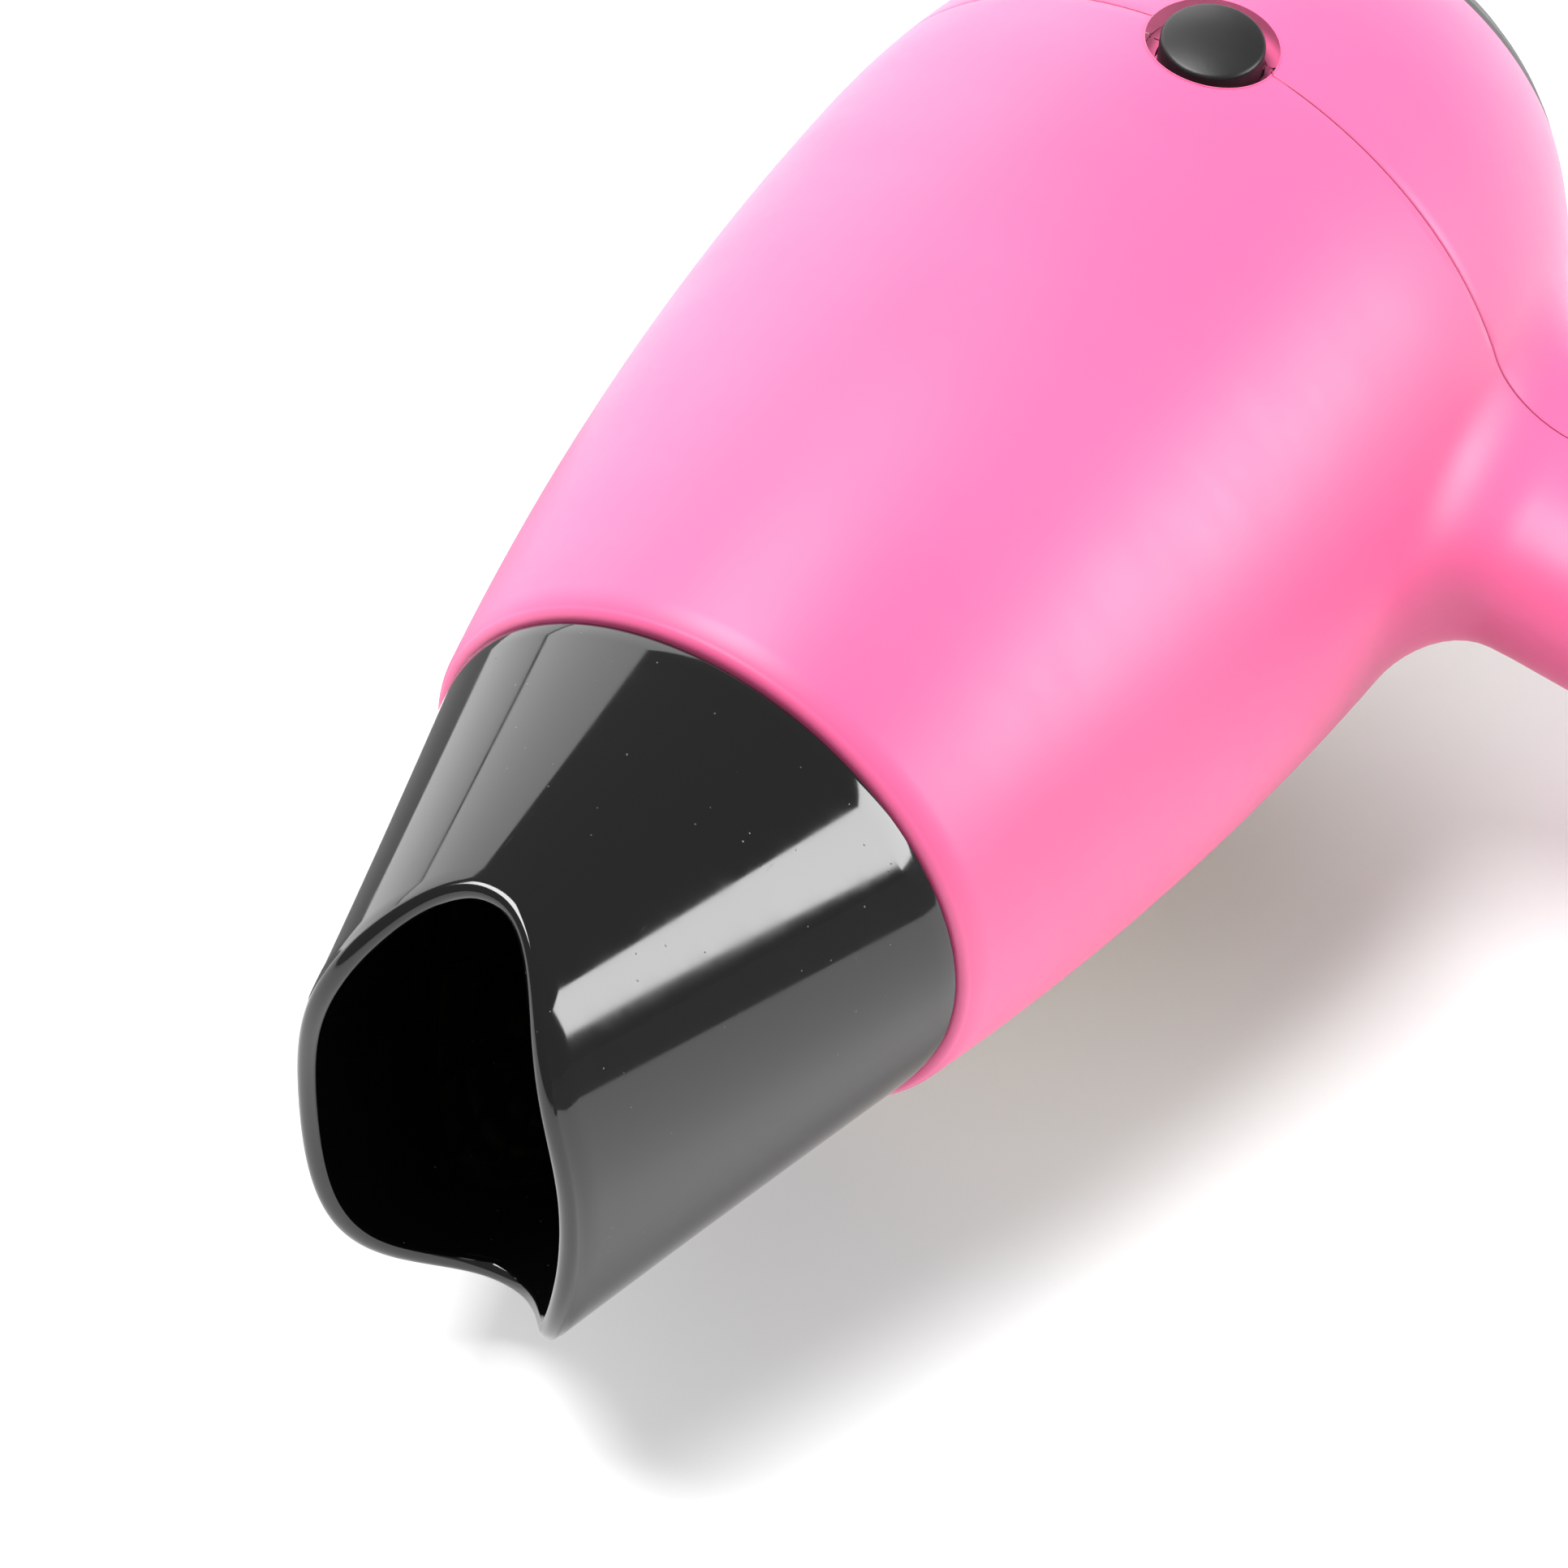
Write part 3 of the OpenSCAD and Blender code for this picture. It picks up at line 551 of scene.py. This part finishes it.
def build_barrel():
    """Front and rear housing: barrel, neck and hinge cheeks, hollow, with the mouth's seat."""
    points, faces = [], []
    lip_ring, rear_ring = barrel_skin(0.0, 1 - BARREL_LEN, NECK_END, points, faces)
    outer_count = len(points)
    seat_end = SEAT_DEPTH - BARREL_LEN
    mouth_ring, back_ring = barrel_skin(WALL, seat_end, CAVITY_END, points, faces)
    join_rings(rear_ring, back_ring, faces)
    turn = np.arange(COLUMNS) * 2 * math.pi / COLUMNS
    lip = [(LIP_R - 1 + math.cos(a), 1 - BARREL_LEN - math.sin(a)) for a in np.radians(np.arange(15, 91, 15))]
    lip += [(SEAT_R + 0.5, -BARREL_LEN), (SEAT_R + 0.15, 0.1 - BARREL_LEN), (SEAT_R, 0.4 - BARREL_LEN),
            (SEAT_R, seat_end)]
    before = lip_ring
    for radius, y in lip:
        start = len(points)
        points.extend(np.stack([radius * np.cos(turn), np.full(COLUMNS, y), radius * np.sin(turn)], 1))
        now = list(range(start, start + COLUMNS))
        join_rings(before, now, faces)
        before = now
    join_rings(before, mouth_ring, faces)
    shell = mesh_object("barrel_front", points, faces, pink)
    bm = bmesh.new()
    bm.from_mesh(shell.data)
    bmesh.ops.recalc_face_normals(bm, faces=bm.faces)
    bm.verts.ensure_lookup_table()
    for i in range(outer_count):
        vertex = bm.verts[i]
        near = 1 - abs(from_axis(vertex.co).y) / SEAM_WIDTH
        if near > 0:
            vertex.co -= vertex.normal * SEAM_DEPTH * near**2 * MM
    bm.to_mesh(shell.data)
    bm.free()
    cut(shell, rod("slot", HUB_R + 0.2, -CHEEK_Z, CHEEK_Z, centre=(HINGE_X, 0, 0), sides=192))
    edge = 3.0
    arc = [(HUB_R - edge + edge * math.cos(a), HUB_Z - edge + edge * math.sin(a))
           for a in np.radians(np.arange(0, 91, 10))]
    recess = CAP_R + 0.1
    profile = [(HINGE_R, CHEEK_Z), (HUB_R - 0.3, CHEEK_Z), (HUB_R, CHEEK_Z + 0.3), *arc,
               (recess + 0.25, HUB_Z), (recess, HUB_Z - 0.25), (recess, CAP_Z), (HINGE_R, CAP_Z)]
    upper = lathe("cheek", profile, pink, 160, "z", (HINGE_X, 0, 0))
    lower = lathe("cheek", [(r, -z) for r, z in profile], pink, 160, "z", (HINGE_X, 0, 0))
    cut(shell, upper, lower, operation="UNION")
    # Known fault: the shell is not closed after the union above, so these unions leave a recess
    # 2 to 3 mm deep round the button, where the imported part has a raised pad.
    for step, lift in ((0, 0.35), (0.1, 0.8), (0.25, 1)):
        cut(shell, pad_disc(PAD_R - step, lift * PAD_LIFT), operation="UNION")
    cut(shell, rod("button_hole", BUTTON_R + BUTTON_GAP, 20, 40, sides=96))
    front, rear = halves(shell, "barrel_front", "barrel_rear")
    for piece, node in ((front, "front_housing"), (rear, "rear_housing")):
        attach(piece, "barrel")
        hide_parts(node)


# ---------------------------------------------------------------- nozzle
def build_nozzle():
    """Concentrator nozzle: ruled from a round shoulder to a wavy oval rim, with its spigot."""
    sides = 240
    turn = np.arange(sides) * 2 * math.pi / sides
    qx, qz = superellipse(turn, MOUTH_POWER)
    reach = NOZZLE_LEN + NOZZLE_WAVE * np.cos(2 * turn) - 1.4 * np.cos(4 * turn)

    def ring(share, sunk, over=0.0):
        x = (1 - share) * (SHOULDER_R - sunk) * np.cos(turn) + share * (MOUTH[0] - sunk) * qx
        z = (1 - share) * (SHOULDER_R - sunk) * np.sin(turn) + share * (MOUTH[1] - sunk) * qz
        return np.stack([x, -BARREL_LEN - SKIRT_GAP - share * reach - over, z], 1)

    def circle(radius, y):
        return np.stack([radius * np.cos(turn), np.full(sides, y), radius * np.sin(turn)], 1)

    foot = -BARREL_LEN - SKIRT_GAP
    edge = 0.35
    rings = [circle(SHOULDER_R - edge, foot), circle(SHOULDER_R - 0.1, foot - 0.1)]
    rings += [ring(share, 0) for share in np.linspace(0.012, 0.975, 26)]
    crown = NOZZLE_WALL / 2
    for a in np.radians(np.arange(0, 181, 15)):
        rings.append(ring(1, crown - crown * math.cos(a), 0.9 * math.sin(a) - 0.51))
    rings += [ring(share, NOZZLE_WALL) for share in np.linspace(0.97, 0.06, 22)]
    spigot_r = SEAT_R - 0.1
    spigot_end = SEAT_DEPTH - BARREL_LEN - 0.6
    rings += [circle(spigot_r - 1.8, foot - 0.4), circle(spigot_r - 1.8, spigot_end)]
    rings += [circle(spigot_r - 0.3, spigot_end), circle(spigot_r, spigot_end - 0.4), circle(spigot_r, foot)]
    points = np.concatenate(rings)
    c, s = math.cos(NOZZLE_REST), math.sin(NOZZLE_REST)
    points = np.stack([points[:, 0] * c - points[:, 2] * s, points[:, 1],
                       points[:, 0] * s + points[:, 2] * c], 1)
    faces = grid_faces(len(rings), sides)
    join_rings([(len(rings) - 1) * sides + i for i in range(sides)], list(range(sides)), faces)
    nozzle = tidy(mesh_object("concentrator_nozzle", points, faces, black_gloss), 40)
    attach(nozzle, "nozzle")
    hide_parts("nozzle")


# ---------------------------------------------------------------- cool-shot button and hinge caps
def build_button():
    """Domed button whose flange keeps it in the housing."""
    flange = BELLY_R - FLANGE_SUNK
    side_top = BUTTON_TOP - 1.0
    edge = 0.55
    flange_top = flange + FLANGE_T
    profile = [(0, flange), (FLANGE_R - 0.1, flange), (FLANGE_R, flange + 0.1), (FLANGE_R, flange_top - 0.1),
               (FLANGE_R - 0.1, flange_top), (BUTTON_R, flange_top), (BUTTON_R, side_top)]
    profile += [(BUTTON_R - edge + edge * math.cos(a), side_top + 0.8 * edge * math.sin(a))
                for a in np.radians(np.arange(12, 80, 12))]
    shoulder_r, shoulder_z = profile[-1]
    profile += [(shoulder_r * (1 - t), BUTTON_TOP - (BUTTON_TOP - shoulder_z) * (1 - t) ** 2.2)
                for t in np.linspace(0.08, 1, 14)]
    button = lathe("button_cap", profile, black_satin, 128, "z", closed=False)
    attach(button, "button")
    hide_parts("cool_shot_button")


def build_hinge_caps():
    """Round plugs over the hinge, each with a shallow ring and a dished middle."""
    top = HUB_Z + 0.35
    profile = [(0, CAP_Z), (CAP_R, CAP_Z), (CAP_R, HUB_Z - 0.4), (CAP_R - 0.15, HUB_Z - 0.05),
               (CAP_R - 0.6, top - 0.05), (CAP_R - 1.1, top), (6.4, top), (6.2, top - 0.25),
               (5.9, top - 0.25), (5.7, top), (4.6, top - 0.02), (3.0, top - 0.22),
               (1.4, top - 0.34), (0, top - 0.38)]
    for name, side in (("hinge_cap_upper", 1), ("hinge_cap_lower", -1)):
        cap = lathe(name + "_plug", [(r, side * z) for r, z in profile], black_satin, 128, "z",
                    (HINGE_X, 0, 0), False)
        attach(cap, "barrel")
        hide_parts(name)


# ---------------------------------------------------------------- handle
# Share of the length, half depth to the front and to the rear, half thickness.
GRIP = [
    (-0.14, 9.3, 13.1, 9.4), (0, 9.3, 13.4, 9.5), (0.14, 10.2, 14, 9.8), (0.28, 11.7, 14.1, 10.2),
    (0.45, 12.9, 13.9, 10.5), (0.66, 13.3, 13.6, 10.6), (0.83, 13.3, 13.4, 10.5),
    (0.93, 13.0, 13.2, 10.1), (0.98, 12.2, 12.4, 9.3), (1.0, 10.8, 11.0, 8.0),
]
GRIP_WALL = 2.0
GRIP_POWER = 2.4
GRIP_START = HINGE_X + 13
LAND_Y = -10.6
LAND_Z = 5.4
SWITCH_X = 99.0
SWITCH_TRAVEL = next(j["range_m"][1] for j in frame["joints"] if j["name"] == "switch_slide") / MM
SLIDER_SLOT = (2.6, 1.9)
SCREW_HEAD_Y = 9.6
SCREW_HEAD_R = 2.8
GLAND_Y = -5.0
GLAND_HOLE_R = 4.8
LOOP_SLOT = 2.1
loop_low, loop_high = (from_axis(corner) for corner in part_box("hang_loop"))
LOOP_R = (loop_high.y - loop_low.y) / 2
LOOP_Y = (loop_high.y + loop_low.y) / 2
LOOP_X = loop_high.x - LOOP_R


def grip_size(share):
    """Smooth half depths and half thickness at a share of the grip's length."""
    table = np.array(GRIP)
    slope = np.gradient(table[:, 1:], table[:, 0], axis=0)
    i = min(max(int(np.searchsorted(table[:, 0], share)) - 1, 0), len(table) - 2)
    x0, x1 = table[i, 0], table[i + 1, 0]
    t = (share - x0) / (x1 - x0)
    h = x1 - x0
    return ((2 * t**3 - 3 * t**2 + 1) * table[i, 1:] + (t**3 - 2 * t**2 + t) * h * slope[i]
            + (3 * t**2 - 2 * t**3) * table[i + 1, 1:] + (t**3 - t**2) * h * slope[i + 1])


def grip_solid(name, sunk, low, high):
    """A closed loft along the grip, sunk below the outer skin."""
    seam = [0.16, 0.45, 0.9]
    quarter = np.concatenate([np.arange(0, 88.6, 2.5), 90 - np.array(seam[::-1]), [90]])
    angles = np.radians(np.concatenate([quarter, (180 - quarter[::-1])[1:], 180 + quarter[1:],
                                        (360 - quarter[::-1])[1:-1]]))
    y, z = superellipse(angles, GRIP_POWER)
    length = HANDLE_END - GRIP_START
    shares = np.concatenate([np.linspace(low, high - 0.07, 40),
                             high - 0.07 * (1 - np.sin(np.radians(np.arange(10, 91, 10))))])
    rings = []
    for share in shares:
        front, rear, thick = grip_size(min(share, 1.0)) - sunk
        rings.append(np.stack([np.full(len(y), GRIP_START + share * length), np.where(y < 0, front, rear) * y,
                               thick * z], 1))
    n = len(y)
    points = np.concatenate(rings)
    if sunk == 0:
        normals = np.stack([np.zeros(len(points)), np.zeros(len(points)), np.sign(points[:, 2])], 1)
        points = groove(points, normals)
    faces = grid_faces(len(rings), n) + [tuple(range(n)), tuple(range(len(points) - n, len(points)))]
    return tidy(mesh_object(name, points, faces, pink))


def build_handle():
    """Front and rear handle shells: grip, and the tongue between the hinge cheeks."""
    grip = grip_solid("handle_grip_front", 0, -0.13, 1.0)
    inside_start = (HINGE_X + HUB_R + 1.6 - GRIP_START) / (HANDLE_END - GRIP_START)
    cut(grip, grip_solid("inside", GRIP_WALL, inside_start, 0.96))
    clear = HUB_R + 0.5
    cut(grip, rod("clear", clear, TONGUE_Z, 20, centre=(HINGE_X, 0, 0), sides=192),
        rod("clear", clear, -20, -TONGUE_Z, centre=(HINGE_X, 0, 0), sides=192))
    tongue_r = HUB_R - 0.4
    rim = [(0, -TONGUE_Z), (tongue_r - 0.4, -TONGUE_Z), (tongue_r, -TONGUE_Z + 0.4),
           (tongue_r, TONGUE_Z - 0.4), (tongue_r - 0.4, TONGUE_Z), (0, TONGUE_Z)]
    cut(grip, lathe("tongue", rim, pink, 192, "z", (HINGE_X, 0, 0), False), operation="UNION")
    x0, x1 = SWITCH_X - 6, SWITCH_X + 6 + SWITCH_TRAVEL
    cut(grip, block("floor", (x0 - 1, LAND_Y, -LAND_Z - 1), (x1 + 1, LAND_Y + 1.5, LAND_Z + 1)),
        operation="UNION")
    cut(grip, rod("bore", HINGE_R + 0.05, -20, 20, centre=(HINGE_X, 0, 0)),
        block("window", (x0, -30, -LAND_Z), (x1, LAND_Y, LAND_Z)),
        block("slot", (SWITCH_X - SLIDER_SLOT[0], -30, -SLIDER_SLOT[1]),
              (SWITCH_X + SLIDER_SLOT[0] + SWITCH_TRAVEL, LAND_Y + 4, SLIDER_SLOT[1])),
        rod("gland_hole", GLAND_HOLE_R, HANDLE_END - 10, HANDLE_END + 10, "x", (0, GLAND_Y, 0)),
        block("loop_slot", (HANDLE_END - 6, LOOP_Y - LOOP_SLOT, -LOOP_SLOT),
              (HANDLE_END + 6, LOOP_Y + LOOP_SLOT, LOOP_SLOT)),
        rod("loop_recess", LOOP_R + 0.1, -LOOP_SLOT, LOOP_SLOT, centre=(LOOP_X, LOOP_Y, 0)))
    for x in (HINGE_X + 23.5, HANDLE_END - 13):
        cut(grip, rod("recess", SCREW_HEAD_R, SCREW_HEAD_Y, 30, "y", (x, 0, 0)))
    front, rear = halves(grip, "handle_grip_front", "handle_grip_rear")
    for piece, node in ((front, "handle_front"), (rear, "handle_rear")):
        bevel(piece, 0.12, 2, 50)
        tidy(piece)
        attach(piece, "handle")
        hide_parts(node)


# ---------------------------------------------------------------- camera, floor and light
def at(x, y, z):
    """A place in millimetres from the barrel's axis, in the row's frame."""
    return Vector((x, y, z)) * MM + AXIS


def aim(obj, target):
    obj.rotation_euler = (target - obj.location).to_track_quat("-Z", "Y").to_euler()


CAMERA_AT = (208.05, -463.06, 532.41)
CAMERA_RIGHT = Vector((0.841, 0.536, 0.073))
CAMERA_BACK = Vector((0.297, -0.571, 0.765))
CAMERA_LENS = 190.8


def build_camera():
    data = bpy.data.cameras.new("camera")
    camera = bpy.data.objects.new("camera", data)
    bpy.context.scene.collection.objects.link(camera)
    back = CAMERA_BACK.normalized()
    up = back.cross(CAMERA_RIGHT).normalized()
    right = up.cross(back)
    camera.matrix_world = Matrix.Translation(at(*CAMERA_AT)) @ Matrix((right, up, back)).transposed().to_4x4()
    data.lens = CAMERA_LENS
    data.sensor_width = 36
    data.clip_start = 0.05
    data.clip_end = 20
    data.dof.use_dof = False
    bpy.context.scene.camera = camera


def build_floor():
    """A pale, flat, seamless floor."""
    material, tree, shader = new_material("paper")
    tree.links.new(mix_colours(tree, noise(tree, 3, 2), (0.90, 0.90, 0.91), (0.93, 0.93, 0.935)),
                   shader.inputs["Base Color"])
    shader.inputs["Roughness"].default_value = 0.85
    shader.inputs["Specular IOR Level"].default_value = 0.2
    bumps(tree, shader, [(noise(tree, 2200, 2), 0.1, 0.02)])
    size = 3.0
    mesh = bpy.data.meshes.new("floor")
    mesh.from_pydata([(-size, -size, 0), (size, -size, 0), (size, size, 0), (-size, size, 0)], [],
                     [(0, 1, 2, 3)])
    mesh.materials.append(material)
    floor = bpy.data.objects.new("floor", mesh)
    bpy.context.scene.collection.objects.link(floor)


def softbox(name, azimuth, elevation, distance, size, power):
    """Area light that looks at the dryer. Azimuth runs from +X towards +Y."""
    data = bpy.data.lights.new(name, "AREA")
    data.shape = "RECTANGLE"
    data.size, data.size_y = size
    data.energy = power
    light = bpy.data.objects.new(name, data)
    bpy.context.scene.collection.objects.link(light)
    a, e = math.radians(azimuth), math.radians(elevation)
    light.location = Vector((math.cos(e) * math.cos(a), math.cos(e) * math.sin(a), math.sin(e))) * distance
    aim(light, Vector((0, 0, 0.03)))


def card(name, corners, shade):
    """A flat card beside the set that only glossy surfaces see, as a photographer's flag."""
    material, _, shader = new_material(name)
    shader.inputs["Base Color"].default_value = (shade, shade, shade, 1)
    shader.inputs["Roughness"].default_value = 1.0
    obj = mesh_object(name, corners, [tuple(range(len(corners)))], material)
    obj.visible_camera = obj.visible_diffuse = obj.visible_shadow = obj.visible_transmission = False


def upright(azimuth, spread, distance, low, high):
    """Corners of an upright card at a distance from the barrel's middle, low and high from the floor."""
    a, half = math.radians(azimuth), distance * math.tan(math.radians(spread))
    middle = Vector((distance * math.cos(a), -40 + distance * math.sin(a), -BELLY_R))
    side = Vector((-math.sin(a), math.cos(a), 0)) * half
    return [middle - side + Vector((0, 0, low)), middle + side + Vector((0, 0, low)),
            middle + side + Vector((0, 0, high)), middle - side + Vector((0, 0, high))]


def build_lights():
    world = bpy.data.worlds.new("world")
    world.use_nodes = True
    world.node_tree.nodes["Background"].inputs["Color"].default_value = (1, 1, 1, 1)
    world.node_tree.nodes["Background"].inputs["Strength"].default_value = 0.38
    bpy.context.scene.world = world
    softbox("key", 195, 68, 1.6, (0.8, 0.8), 36)
    softbox("right_box", 28, 24, 1.5, (0.80, 0.70), 22)
    softbox("left_wall", 150, 19, 1.8, (2.4, 1.15), 22)
    card("horizon_flag", upright(20, 55, 260, 0, 74), 0.22)
    flag_z = 0.4 - BELLY_R
    outline = [(-56, -12), (-118, -6), (-78, -88), (-40, -88)]
    card("floor_flag", [(x, y, flag_z) for x, y in outline], 0.14)
    # The barrel bounces no pink light, so that the floor's shadow stays a neutral grey.
    for shell in ("barrel_front", "barrel_rear"):
        bpy.data.objects[shell].visible_diffuse = False


build_barrel()
build_nozzle()
build_button()
build_hinge_caps()
build_handle()
dress_cad_nodes()
build_camera()
build_floor()
build_lights()
bpy.context.scene.view_settings.view_transform = "Standard"
